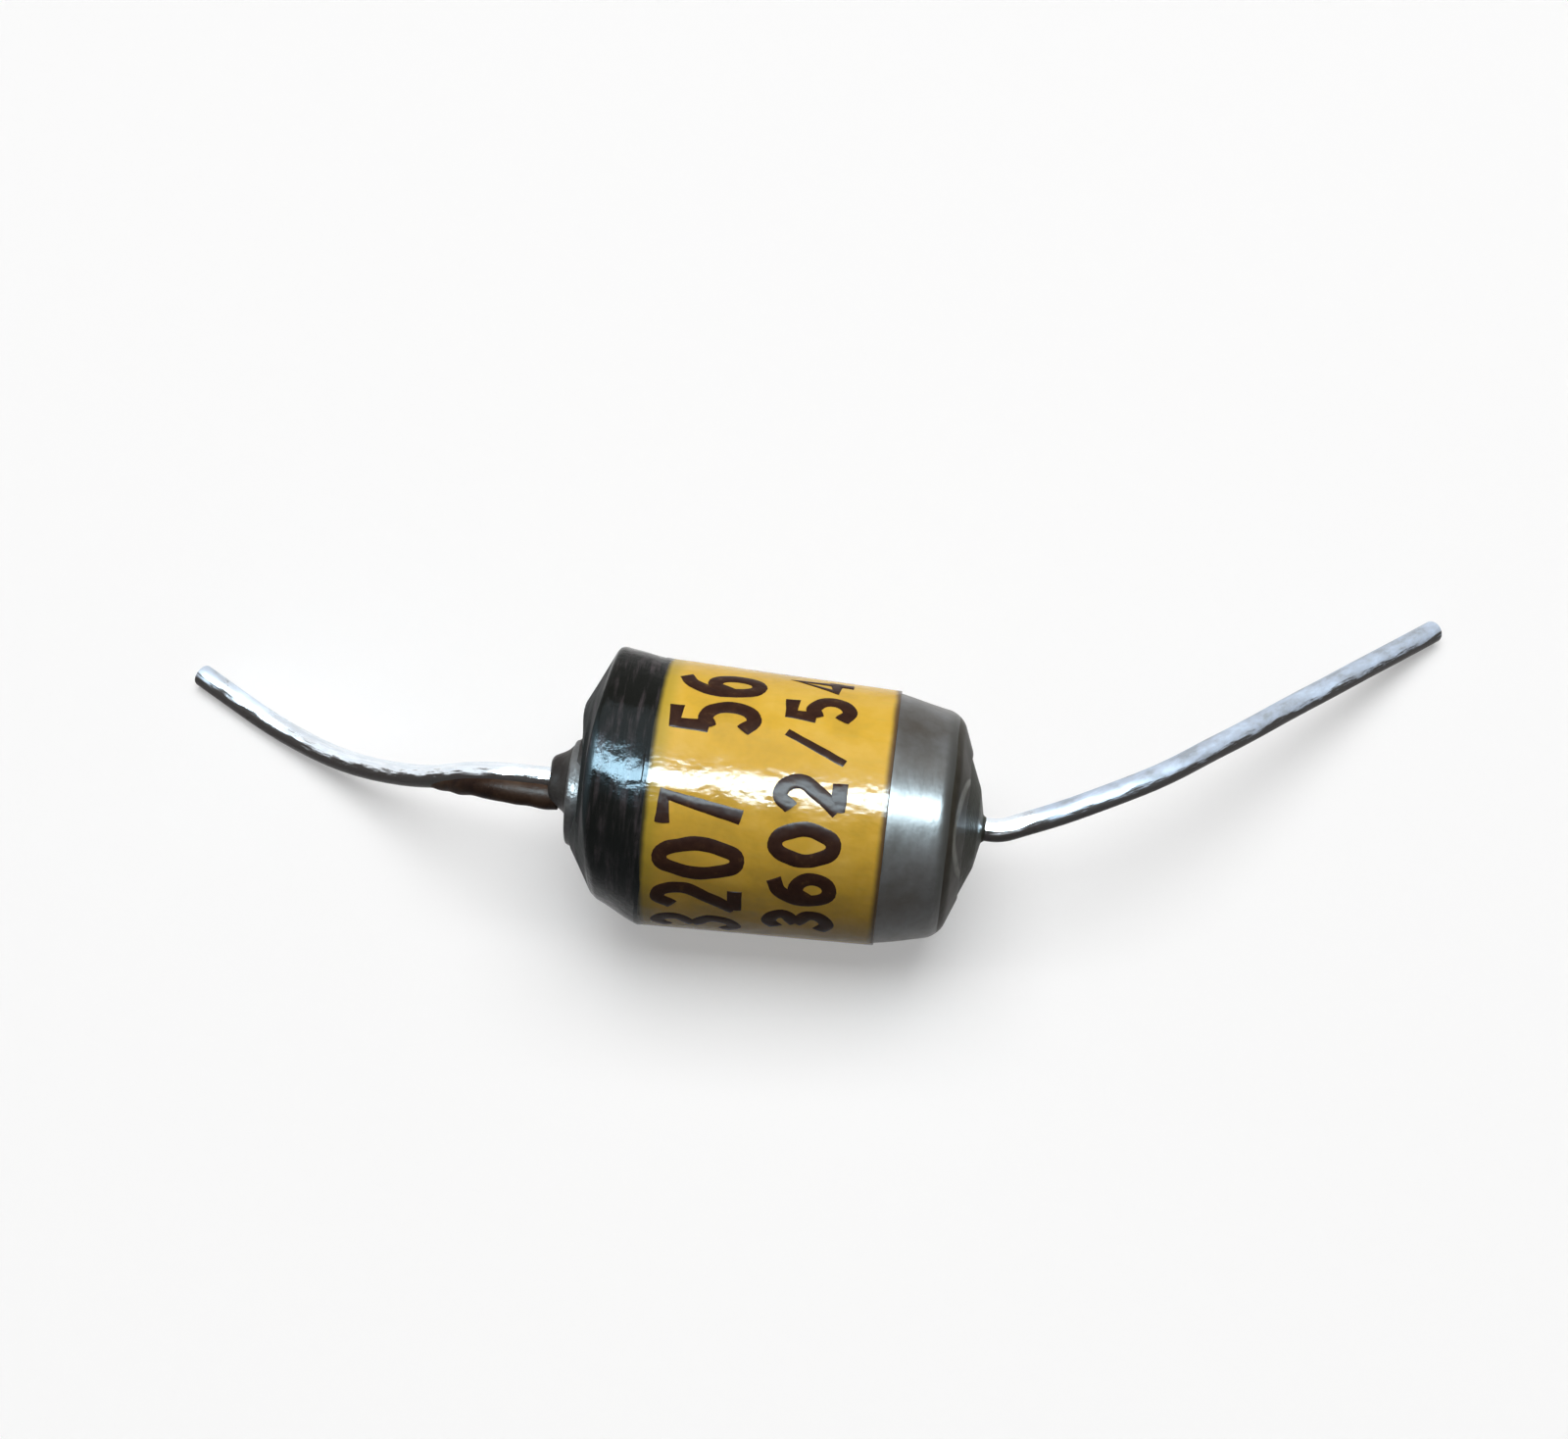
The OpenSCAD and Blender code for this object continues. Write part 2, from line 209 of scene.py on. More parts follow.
# Each bend is the straight before it, the turn round the wire, the angle and the radius.
LEFT_BENDS = ((0.6, -21.5, 42, 2.7), (0.6, -131, 39, 10.3))
LEFT_TAIL = 2.1
RIGHT_BENDS = ((0.06, 115.5, 23.5, 1.2), (0.95, -68.5, 34.5, 7.3))
RIGHT_TAIL = 10
FOOT_BENDS = ((0, 0, 90, FOOT_BEND_RADIUS), (0, 90, 90, FOOT_TURN_RADIUS),
              (0, 0, 200, FOOT_HOOK_RADIUS))


def draw_wire(wire, ring, place, bends, tail, run):
    """Extrudes a ring of the wire along its bends and its straight end, and keeps the run of each corner."""
    unrolled = wire.verts.layers.float_vector["unrolled"]

    def step(ring, move, length):
        grown = bmesh.ops.extrude_edge_only(wire, edges=ring)["geom"]
        corners = [v for v in grown if isinstance(v, bmesh.types.BMVert)]
        bmesh.ops.transform(wire, matrix=move, verts=corners, space=Matrix())
        for corner in corners:
            corner[unrolled] = corner[unrolled] + Vector((0, 0, length))
        return [e for e in grown if isinstance(e, bmesh.types.BMEdge) and e.is_boundary]

    for straight, turn, angle, radius in (*bends, (tail, 0, 0, 1)):
        pieces = math.ceil(straight / STRAIGHT_STEP)
        for _ in range(pieces):
            ahead = place.to_3x3() @ Vector((0, 0, straight / pieces))
            ring = step(ring, Matrix.Translation(ahead), run * straight / pieces)
            place = Matrix.Translation(ahead) @ place
        place = place @ Matrix.Rotation(math.radians(turn), 4, "Z")
        pieces = math.ceil(angle / BEND_STEP)
        for _ in range(pieces):
            hinge = place @ Matrix.Translation((radius, 0, 0))
            swing = hinge @ Matrix.Rotation(math.radians(angle / pieces), 4, "Y") @ hinge.inverted()
            ring = step(ring, swing, run * radius * math.radians(angle / pieces))
            place = swing @ place
    return ring


def cap(wire, ring):
    """Closes a cut end with a small chamfer."""
    bmesh.ops.contextual_create(wire, geom=ring)
    bmesh.ops.bevel(wire, geom=ring, offset=CUT_CHAMFER, affect="EDGES", segments=2, profile=0.5,
                    material=-1)


def finish_piece(form, name, finish, smooth_angle=40):
    """Lays the form down in its place, as an object of its own with smooth faces."""
    form.transform(LAID)
    mesh = bpy.data.meshes.new(name)
    form.to_mesh(mesh)
    form.free()
    piece = bpy.data.objects.new(name, mesh)
    bpy.context.scene.collection.objects.link(piece)
    mesh.materials.append(finish)
    mesh.shade_smooth()
    mesh.set_sharp_from_angle(angle=math.radians(smooth_angle))
    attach(piece, "root")
    return piece


def make_lead(name, start, face, reach, bends, tail, finish):
    """A whole lead: the foot, the stem through the resin and the bends outside."""
    wire = bmesh.new()
    unrolled = wire.verts.layers.float_vector.new("unrolled")
    place = start @ Matrix.Translation((0, 0, face + FOOT_RISE))
    corners = bmesh.ops.create_circle(wire, segments=LEAD_SIDES, radius=LEAD_D / 2)["verts"]
    for corner in corners:
        corner[unrolled] = corner.co.copy()
    bmesh.ops.transform(wire, matrix=place, verts=corners, space=Matrix())
    ring = list(wire.edges)
    stem = reach - face - FOOT_RISE
    outside = ((bends[0][0] + stem, *bends[0][1:]), *bends[1:])
    ends = [draw_wire(wire, ring, place, outside, tail, 1)]
    under = place @ Matrix.Rotation(math.pi, 4, "X")
    ends.append(draw_wire(wire, ring, under, FOOT_BENDS, 0, -1))
    for end in ends:
        cap(wire, end)
    for corner in wire.verts:
        run = corner[unrolled].z
        bent = noise.noise_vector((run * 0.4, bends[0][1], 0)) * KINK
        corner.co += bent * min(1, max(0, (run - stem) / KINK_FROM))
    bmesh.ops.remove_doubles(wire, verts=wire.verts, dist=0.0005)
    bmesh.ops.recalc_face_normals(wire, faces=wire.faces)
    return finish_piece(wire, name, finish)


# Points down and to the front, where the tin's colour is darkened as painted shade.
UNDERSIDE = (0.05, -0.62, -0.78)


def tinned(name, dull_from, dull_to, shade_from):
    """Tin that turns from bright to dull along the wire, and is painted dark as shade where its side faces
    down.

    The last argument is how much a side must face down for that painted shade, from -1 to 1.
    """
    tin = new_finish(name, Specular_IOR_Level=0.08)
    wire = add(tin, "Attribute", attribute_name="unrolled").outputs["Vector"]
    run = add(tin, "SeparateXYZ", {"Vector": wire}).outputs["Z"]
    normal = add(tin, "TexCoord").outputs["Normal"]
    down = add(tin, "VectorMath", {0: normal, 1: UNDERSIDE}, operation="DOT_PRODUCT")
    patches = speckle(tin, wire, 2.6, detail=5, stretch=(1, 1, 0.5))
    drag = speckle(tin, wire, 7, detail=3, stretch=(1.6, 1.6, 0.22))
    dull = sums(tin, "MULTIPLY", level(tin, run, dull_from, dull_to),
                level(tin, patches, 0.3, 0.6, 0.7))
    bright = blend(tin, level(tin, drag, 0.35, 0.7), (0.80, 0.86, 0.92, 1), (0.92, 0.96, 1.0, 1))
    worn = ramp(tin, patches, (0.36, (0.16, 0.19, 0.24)), (0.47, (0.40, 0.46, 0.56)),
                (0.62, (0.56, 0.64, 0.76)))
    top = blend(tin, dull, bright, worn)
    # The dark colour where the side faces down is painted shade, with a ragged edge from noise.
    ragged = sums(tin, "ADD", down.outputs["Value"], level(tin, drag, 0.25, 0.75, -0.3, 0.3))
    underside_shade = level(tin, ragged, shade_from - 0.2, shade_from + 0.2)
    join(tin, blend(tin, underside_shade, top, (0.075, 0.068, 0.066, 1)), "Base Color")
    rough = sums(tin, "ADD", level(tin, dull, 0, 1, 0.16, 0.42),
                 level(tin, patches, 0.3, 0.7, -0.05, 0.08))
    join(tin, rough, "Roughness")
    join(tin, level(tin, sums(tin, "MAXIMUM", dull, underside_shade), 0.2, 0.9, 1, 0.1), "Metallic")
    bumpy(tin, sums(tin, "ADD", patches, drag), 0.012)
    return tin


lead_left = make_lead("lead_left_wire", Matrix.Rotation(math.pi, 4, "X"), LEFT_FACE,
                      BAND_END + NUB_LEN, LEFT_BENDS, LEFT_TAIL,
                      tinned("bright_tin", 7, 16, -0.42))
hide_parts("lead_left")
lead_right = make_lead("lead_right_wire", Matrix(), RIGHT_FACE,
                       RIGHT_SEAL_REACH, RIGHT_BENDS, RIGHT_TAIL,
                       tinned("dull_tin", 1.2, 2.6, -0.22))
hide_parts("lead_right")

# ---- Film wrap -------------------------------------------------------------------------------
# The last turns of film with foil under them, shrunk by heat until they grip the roll.
# The film draws in over both ends and stays open at its mouths, where the resin is poured.

LABEL_T = 0.06
WRAP_T = 0.14
RIGHT_SHOULDER_LEN = 1.57
RIGHT_CORNER = HALF_LABEL + RIGHT_SHOULDER_LEN
RIGHT_CORNER_D = 5.62
RIGHT_MOUTH_D = 3.7
RIGHT_END_RISE = math.radians(21)
RIGHT_MOUTH = RIGHT_CORNER + (RIGHT_CORNER_D - RIGHT_MOUTH_D) / 2 * math.tan(RIGHT_END_RISE)
LEFT_SHOULDER_LEN = 1.0
LEFT_CORNER = -HALF_LABEL - LEFT_SHOULDER_LEN
LEFT_CORNER_D = 5.4
LEFT_MOUTH_D = 3
LEFT_END_RISE = math.radians(30)
LEFT_MOUTH = LEFT_CORNER - (LEFT_CORNER_D - LEFT_MOUTH_D) / 2 * math.tan(LEFT_END_RISE)
CORNER_RADIUS = 0.34
SHOULDER_RADIUS = 0.62
MOUTH_EDGE_RADIUS = 0.06
MOUTH_CLEAR = 0.05

# Depth of the film's slight waves, and how much its gathered end is puckered.
WAVE = 0.025
PUCKER = 0.05

# The dull, gathered film starts this far before the middle of the right corner.
GATHERED = 0.06

# Across the body, this way points up and to the front.
FRONT = Vector((math.cos(math.radians(215)), math.sin(math.radians(215)), 0))

# Sides of each round piece, and the longest stretch of its outline between two corners.
ROUND_SIDES = 240
FINE = 0.12


def outline_of(form, points):
    """The half section of a turned piece: each point is a radius, a height and its rounding."""
    places = [Vector((r, 0, z)) for r, z, _ in points]
    corners = [form.verts.new(place) for place in places]
    for one, other in zip(corners, corners[1:]):
        form.edges.new((one, other))
    for i, (_, _, rounding) in enumerate(points):
        if rounding:
            half = (places[i - 1] - places[i]).angle(places[i + 1] - places[i]) / 2
            bmesh.ops.bevel(form, geom=[corners[i]], offset=rounding / math.tan(half),
                            affect="VERTICES", segments=10, profile=0.5, material=-1)
    for edge in list(form.edges):
        bmesh.ops.subdivide_edges(form, edges=[edge], cuts=int(edge.calc_length() / FINE))


def spin_round(form):
    """Spins the half section all the way round and closes it."""
    bmesh.ops.spin(form, geom=list(form.verts) + list(form.edges), cent=(0, 0, 0), axis=(0, 0, 1),
                   angle=math.tau, steps=ROUND_SIDES, use_merge=True)
    bmesh.ops.remove_doubles(form, verts=form.verts, dist=0.0005)
    bmesh.ops.recalc_face_normals(form, faces=form.faces)


def label_radius(z):
    """Outside of the label at that height along the axis."""
    return (LABEL_D_LEFT + LABEL_D_RIGHT) / 4 - z / LABEL_LEN * (LABEL_D_LEFT - LABEL_D_RIGHT) / 2


film = bmesh.new()
outside = (
    (LEFT_MOUTH_D / 2, LEFT_MOUTH, 0),
    (LEFT_CORNER_D / 2, LEFT_CORNER, CORNER_RADIUS),
    (label_radius(-HALF_LABEL) - LABEL_T, -HALF_LABEL, 0),
    (label_radius(HALF_LABEL) - LABEL_T, HALF_LABEL, 0),
    (RIGHT_CORNER_D / 2, RIGHT_CORNER, SHOULDER_RADIUS),
    (RIGHT_MOUTH_D / 2, RIGHT_MOUTH, MOUTH_EDGE_RADIUS),
)
inside = (
    (RIGHT_MOUTH_D / 2 - MOUTH_CLEAR, RIGHT_MOUTH - WRAP_T, MOUTH_EDGE_RADIUS),
    (RIGHT_CORNER_D / 2 - WRAP_T, RIGHT_CORNER - WRAP_T / 2, CORNER_RADIUS - WRAP_T),
    (label_radius(HALF_LABEL) - LABEL_T - WRAP_T, HALF_LABEL, 0),
    (label_radius(-HALF_LABEL) - LABEL_T - WRAP_T, -HALF_LABEL, 0),
    (LEFT_CORNER_D / 2 - WRAP_T, LEFT_CORNER + WRAP_T / 2, CORNER_RADIUS - WRAP_T),
    (LEFT_MOUTH_D / 2, LEFT_MOUTH + WRAP_T, 0),
    (LEFT_MOUTH_D / 2, LEFT_MOUTH, 0),
)
outline_of(film, outside + inside)
spin_round(film)
for face in film.faces:
    face.material_index = int(face.calc_center_median().z > RIGHT_CORNER - GATHERED)
for corner in film.verts:
    x, y, z = corner.co
    if z > HALF_LABEL:
        turn = Vector((x, y, 0)).normalized()
        wave = noise.noise(Vector((x * 0.5, y * 0.5, z * 0.9))) * WAVE
        pull = noise.noise(Vector((turn.x * 2.6, turn.y * 2.6, 7))) * PUCKER
        corner.co += turn * wave * min(1, (z - HALF_LABEL) * 2)
        corner.co.z += pull * max(0, z - RIGHT_CORNER + 0.5)

foil_film = new_finish("foil_under_film", Specular_IOR_Level=0.27,
                       Coat_Weight=0.05, Coat_Roughness=0.18)
barrel = along_axis(foil_film)
height = add(foil_film, "SeparateXYZ", {"Vector": barrel}).outputs["Z"]
tint = speckle(foil_film, barrel, 0.9, detail=4)
rolled = speckle(foil_film, barrel, 1.6, detail=3, stretch=(0.5, 0.5, 1.5))
grey = ramp(foil_film, tint, (0.3, (0.05, 0.04, 0.03)), (0.5, (0.08, 0.076, 0.07)),
            (0.72, (0.125, 0.126, 0.128)))
gather = level(foil_film, height, RIGHT_CORNER - 0.38, RIGHT_CORNER - 0.08)
drawn_in = blend(foil_film, gather, grey, (0.035, 0.034, 0.028, 1))
join(foil_film, drawn_in, "Base Color")
join(foil_film, level(foil_film, rolled, 0.3, 0.7, 0.3, 0.38), "Roughness")
bumpy(foil_film, sums(foil_film, "ADD", tint, rolled), 0.012)
film_wrap = finish_piece(film, "film_wrap_shell", foil_film, 60)
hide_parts("film_wrap")

# Past its right corner the film is gathered over the resin. It is dull there, with one pale curved line
# painted on as a highlight.
gathered_film = new_finish("gathered_film", Specular_IOR_Level=0.04, Roughness=0.36)
barrel = along_axis(gathered_film)
height = add(gathered_film, "SeparateXYZ", {"Vector": barrel}).outputs["Z"]
facing = add(gathered_film, "VectorMath", {0: barrel, 1: FRONT}, operation="DOT_PRODUCT")
bowed = sums(gathered_film, "ADD", height,
             sums(gathered_film, "MULTIPLY", facing.outputs["Value"], 0.25))
# A thin pale line round the gathered end, bowed towards the front, is a painted highlight.
painted_glint_line = sums(gathered_film, "MULTIPLY",
             level(gathered_film, bowed, RIGHT_CORNER + 0.70, RIGHT_CORNER + 0.72),
             level(gathered_film, bowed, RIGHT_CORNER + 0.755, RIGHT_CORNER + 0.735))
rolled = speckle(gathered_film, barrel, 1.6, detail=3, stretch=(0.5, 0.5, 1.5))
broken_glint_line = sums(gathered_film, "MULTIPLY", painted_glint_line, level(gathered_film, rolled, 0.35, 0.6, 0.3, 1))
cloud = ramp(gathered_film, speckle(gathered_film, barrel, 0.9, detail=4),
             (0.3, (0.03, 0.026, 0.018)), (0.7, (0.062, 0.055, 0.044)))
join(gathered_film, blend(gathered_film, broken_glint_line, cloud, (0.26, 0.26, 0.23, 1)), "Base Color")
bumpy(gathered_film, rolled, 0.012)
film_wrap.data.materials.append(gathered_film)

# ---- End seals -------------------------------------------------------------------------------
# Epoxy resin poured into the mouths of the film, which keeps damp out and holds the leads.
# It set as a cone at the right. At the left it was pressed out as a bead, with a nub on the lead.

SOLDER_H = 0.34
SOLDER_D = 3.6
SEAL_NECK_D = 2.4
FILM_GAP = 0.03

# The cone swells a little halfway, ends short of its full reach and creeps up the lead there.
CONE_MIDDLE_D = 2
CONE_MIDDLE_RADIUS = 0.6
CONE_SHORT = 0.17
CONE_LIP = 0.05
CREEP = 0.08
CONE_TIP = RIGHT_SEAL_REACH - CONE_SHORT

NUB_D = 2.3
NUB_TIP_D = 1.15
NUB_WAIST = 0.16
NUB_WAIST_RADIUS = 0.5
NUB_EDGE_RADIUS = 0.16

BEAD_D = 2.6
BEAD_T = 0.18
BEAD_ROOT = 0.36
BEAD_BULGE = 0.03
BEAD_TAPER = 0.02
BEAD_SAG_TURN = math.radians(305)
BEAD_SAG = Vector((math.cos(BEAD_SAG_TURN), math.sin(BEAD_SAG_TURN), 0)) * 0.28

# How uneven the poured pieces set: the nub and the run in millimetres, the bead as a share.
NUB_LUMPS = 0.05
RUN_LUMPS = 0.05
BEAD_LUMPS = 0.08

# The run starts inside the nub. At its far end it has this radius, and is this deep in the lead.
RUN_LEN = 3.9
RUN_T = 0.46
RUN_W = 0.72
RUN_ROOT = 0.3
RUN_FADE = 0.04
RUN_THIN_R = 0.2


def resin(name, colour, edge, light, gloss=0.07):
    """Filled resin: clouded, with a skin that shines where nothing has rubbed it."""
    cast = new_finish(name, Specular_IOR_Level=gloss)
    inside_piece = along_axis(cast)
    cloud = speckle(cast, inside_piece, 1.3, detail=5)
    specks = speckle(cast, inside_piece, 12, detail=2)
    tone = ramp(cast, cloud, (0.3, edge), (0.5, colour), (0.72, light))
    join(cast, blend(cast, level(cast, specks, 0.6, 0.75, 0, 0.5), tone, (*light, 1)), "Base Color")
    join(cast, level(cast, cloud, 0.3, 0.7, 0.28, 0.5), "Roughness")
    bumpy(cast, sums(cast, "ADD", cloud, sums(cast, "MULTIPLY", specks, 0.3)), 0.03)
    return cast


right_resin = bmesh.new()
outline_of(right_resin, (
    (0, RIGHT_FACE + SOLDER_H, 0),
    (SOLDER_D / 2, RIGHT_FACE, 0),
    (RIGHT_CORNER_D / 2 - WRAP_T, RIGHT_FACE, 0),
    (RIGHT_CORNER_D / 2 - WRAP_T, RIGHT_CORNER - WRAP_T / 2, CORNER_RADIUS - WRAP_T),
    (RIGHT_MOUTH_D / 2 - MOUTH_CLEAR, RIGHT_MOUTH - FILM_GAP, MOUTH_CLEAR),
    (CONE_MIDDLE_D / 2, (RIGHT_MOUTH + RIGHT_SEAL_REACH) / 2, CONE_MIDDLE_RADIUS),
    (LEAD_D / 2 + CONE_LIP, CONE_TIP, CONE_LIP * 2),
    (LEAD_D / 2, CONE_TIP + CREEP, 0),
    (0, CONE_TIP + CREEP, 0),
))
spin_round(right_resin)
end_seal_right = finish_piece(right_resin, "right_resin_cone",
                              resin("olive_resin", (0.045, 0.043, 0.033), (0.028, 0.025, 0.018),
                                    (0.08, 0.08, 0.068), 0.022), 60)
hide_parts("end_seal_right")

left_resin = bmesh.new()
outline_of(left_resin, (
    (0, -LEFT_FACE - SOLDER_H, 0),
    (SOLDER_D / 2, -LEFT_FACE, 0),
    (LEFT_CORNER_D / 2 - WRAP_T, -LEFT_FACE, 0),
    (LEFT_CORNER_D / 2 - WRAP_T, LEFT_CORNER + WRAP_T / 2, CORNER_RADIUS - WRAP_T),
    (LEFT_MOUTH_D / 2, LEFT_MOUTH, 0),
    (SEAL_NECK_D / 2, LEFT_MOUTH, 0),
    (SEAL_NECK_D / 2, -BAND_END, 0),
    (NUB_D / 2, -BAND_END, 0),
    (NUB_TIP_D / 2 + NUB_WAIST, -BAND_END - NUB_LEN / 2, NUB_WAIST_RADIUS),
    (NUB_TIP_D / 2, -BAND_END - NUB_LEN, NUB_EDGE_RADIUS),
    (0, -BAND_END - NUB_LEN, 0),
))
spin_round(left_resin)
for corner in left_resin.verts:
    if corner.co.z < -BAND_END:
        corner.co += noise.noise_vector(corner.co * 1.6) * NUB_LUMPS
end_seal_left = finish_piece(left_resin, "left_resin_nub",
                             resin("dark_resin", (0.035, 0.030, 0.028), (0.02, 0.016, 0.014),
                                   (0.06, 0.055, 0.05)), 60)
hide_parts("end_seal_left")

# The bead is the lip of the same resin, which swelled out over the band and sagged to one side.
bead = bmesh.new()
outline_of(bead, (
    (0, -BAND_END + BEAD_ROOT, 0),
    (BEAD_D / 2, -BAND_END + BEAD_ROOT, 0),
    (BEAD_D / 2 + BEAD_BULGE, -BAND_END, 0.2),
    (BEAD_D / 2 - BEAD_TAPER, -BAND_END - BEAD_T, 0.08),
    (0, -BAND_END - BEAD_T, 0),
))
spin_round(bead)
for corner in bead.verts:
    side = noise.noise(corner.co * 1.1 + Vector((5, 0, 0)))
    corner.co += BEAD_SAG + Vector((corner.co.x, corner.co.y, 0)) * side * BEAD_LUMPS
left_bead = finish_piece(bead, "left_resin_bead",
                         resin("worn_resin", (0.10, 0.10, 0.10), (0.06, 0.058, 0.057),
                               (0.16, 0.16, 0.158), 0.2), 60)

# The resin also ran out along the underside of the left lead, to the side where the bead sagged.
# A ball is drawn out along the lead's first straight and bend, from one pole to the other.
trail = bmesh.new()
bmesh.ops.create_uvsphere(trail, u_segments=48, v_segments=64, radius=1)
along_lead = Matrix.Rotation(math.pi, 4, "X") @ Matrix.Translation((0, 0, BAND_END + NUB_LEN))
for corner in trail.verts:
    share = (1 + corner.co.z) / 2
    wide = math.sqrt(max(0, 1 - corner.co.z ** 2))
    run = share * (RUN_LEN + RUN_ROOT) - RUN_ROOT
    fullness = math.cos(math.pi / 2 * max(run, 0) / RUN_LEN)
    depth = (RUN_T + RUN_FADE) * fullness - RUN_FADE
    thick = RUN_THIN_R + (RUN_W / 2 - RUN_THIN_R) * fullness
    ragged = noise.noise(Vector((run * 1.7, corner.co.x, 3))) * RUN_LUMPS
    neck, turn, angle, radius = LEFT_BENDS[0]
    straight = min(run, neck)
    bent = min((run - straight) / radius, math.radians(angle))
    rest = run - straight - radius * bent
    place = (along_lead @ Matrix.Translation((0, 0, straight)) @ Matrix.Rotation(math.radians(turn), 4, "Z")
             @ Matrix.Translation((radius * (1 - math.cos(bent)), 0, radius * math.sin(bent)))
             @ Matrix.Rotation(bent, 4, "Y") @ Matrix.Translation((0, 0, rest))
             @ Matrix.Rotation(-math.radians(turn) - BEAD_SAG_TURN, 4, "Z"))
    end_round = min(1, wide * 4)
    flat = corner.co.to_2d().normalized() if wide > 0.001 else Vector((0, 0))
    corner.co = place @ Vector((LEAD_D / 2 + depth - thick + (thick + ragged) * end_round * flat.x,
                                thick * end_round * flat.y, 0))
bmesh.ops.recalc_face_normals(trail, faces=trail.faces)
left_trail = finish_piece(trail, "left_resin_run",
                          resin("brown_resin", (0.045, 0.024, 0.014), (0.022, 0.012, 0.009),
                                (0.075, 0.045, 0.028), 0.03), 60)

# ---- Label -----------------------------------------------------------------------------------
# A strip of yellow film laid round the roll before it was shrunk, so that it grips all over.
# Its two edges stand a little proud. The right one has a thin dark line, and the left one is stained.

LABEL_EDGE_RADIUS = 0.03

# How far the dark line reaches in from the right edge, and a stain and seeped lacquer from the left one.
DARK_EDGE_W = 0.17
STAIN_W = 0.62
STAIN_FULL_W = 0.14
SEEP_W = 0.19
SEEP_FULL_W = 0.03

label = bmesh.new()
outline_of(label, (
    (label_radius(-HALF_LABEL) - LABEL_T, -HALF_LABEL, 0),
    (label_radius(-HALF_LABEL), -HALF_LABEL, 0),
    (label_radius(HALF_LABEL), HALF_LABEL, LABEL_EDGE_RADIUS),
    (label_radius(HALF_LABEL) - LABEL_T, HALF_LABEL, 0),
    (label_radius(-HALF_LABEL) - LABEL_T, -HALF_LABEL, 0),
))
spin_round(label)

yellow_film = new_finish("yellow_film", Specular_IOR_Level=0.08)
barrel = along_axis(yellow_film)
height = add(yellow_film, "SeparateXYZ", {"Vector": barrel}).outputs["Z"]
mottle = speckle(yellow_film, barrel, 0.55, detail=4)
fibre = speckle(yellow_film, barrel, 5, detail=3, stretch=(1, 1, 0.3))
golden = ramp(yellow_film, mottle, (0.32, (0.58, 0.36, 0.045)), (0.5, (0.72, 0.44, 0.05)),
              (0.68, (0.78, 0.50, 0.085)))
golden = blend(yellow_film, level(yellow_film, fibre, 0.5, 0.8, 0, 0.3), golden, (0.60, 0.42, 0.07, 1))
edge_wave = sums(yellow_film, "MULTIPLY", speckle(yellow_film, barrel, 1.4), 0.06)
# The label is darker in a thin brown line along its right edge.
dark_right_edge = level(yellow_film, sums(yellow_film, "ADD", height, edge_wave),
              HALF_LABEL - DARK_EDGE_W, HALF_LABEL)
from_band = sums(yellow_film, "SUBTRACT", height, edge_wave)
stain = level(yellow_film, from_band, -HALF_LABEL + STAIN_W, -HALF_LABEL + STAIN_FULL_W, 0, 0.75)
seep = level(yellow_film, from_band, -HALF_LABEL + SEEP_W, -HALF_LABEL + SEEP_FULL_W)
golden = blend(yellow_film, dark_right_edge, golden, (0.12, 0.07, 0.028, 1))
golden = blend(yellow_film, stain, golden, (0.42, 0.31, 0.03, 1))
golden = blend(yellow_film, seep, golden, (0.045, 0.04, 0.014, 1))
join(yellow_film, golden, "Base Color")
join(yellow_film, level(yellow_film, mottle, 0.3, 0.7, 0.09, 0.24), "Roughness")
ripple = speckle(yellow_film, barrel, 1.1, detail=3, stretch=(1, 1, 0.8))
bumpy(yellow_film, sums(yellow_film, "ADD", ripple, sums(yellow_film, "MULTIPLY", fibre, 0.12)), 0.05)
label_band = finish_piece(label, "label_sleeve", yellow_film, 60)
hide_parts("label_band")

# ---- Print -----------------------------------------------------------------------------------
# Two rows of plain numbers stamped on the label in dark brown ink, read from the bench upwards.
# Each stroke is drawn with a round pen, pressed flat and wrapped round the label as a thin skin.

INK_T = 0.016
PEN_D = 0.37
SLASH_PEN_D = 0.2
DIGIT_PITCH = 1.22
RAGGED = 0.018

# The share of its pitch that a figure takes, with the gap to the next one left out.
DIGIT_SHARE = 0.86

# Strokes of each figure in a box of 1 by 1. A round stroke is a smooth curve through its points.
FIGURES = {
    "0": (("ring", (0.5, 1), (1, 0.72), (1, 0.28), (0.5, 0), (0, 0.28), (0, 0.72)),),
    "2": (("round", (0.02, 0.8), (0.5, 1), (0.98, 0.74), (0.6, 0.36), (0, 0)), ("line", (0, 0), (1, 0))),
    "3": (("round", (0.02, 0.88), (0.5, 1), (0.95, 0.78), (0.42, 0.54)),
          ("round", (0.42, 0.54), (1, 0.27), (0.5, 0), (0, 0.13))),
    "4": (("line", (0.74, 0), (0.74, 1), (0, 0.3), (1, 0.3)),),
    "5": (("line", (0.92, 1), (0.12, 1), (0.06, 0.56)),
          ("round", (0.06, 0.56), (0.52, 0.62), (1, 0.32), (0.5, 0), (0, 0.12))),
    "6": (("round", (0.9, 0.97), (0.35, 0.84), (0, 0.34), (0.5, 0), (1, 0.3), (0.52, 0.58), (0.04, 0.36)),),
    "7": (("line", (0, 1), (1, 1), (0.36, 0)),),
    "/": (("line", (-0.05, -0.03), (1.05, 1.03)),),
}

# Each row is its figures, where its foot is along the axis, their height and the angle it starts at.
ROWS = (("3207 56", -0.34, 2.26, -111), ("3602/54", 1.94, 1.78, -101))


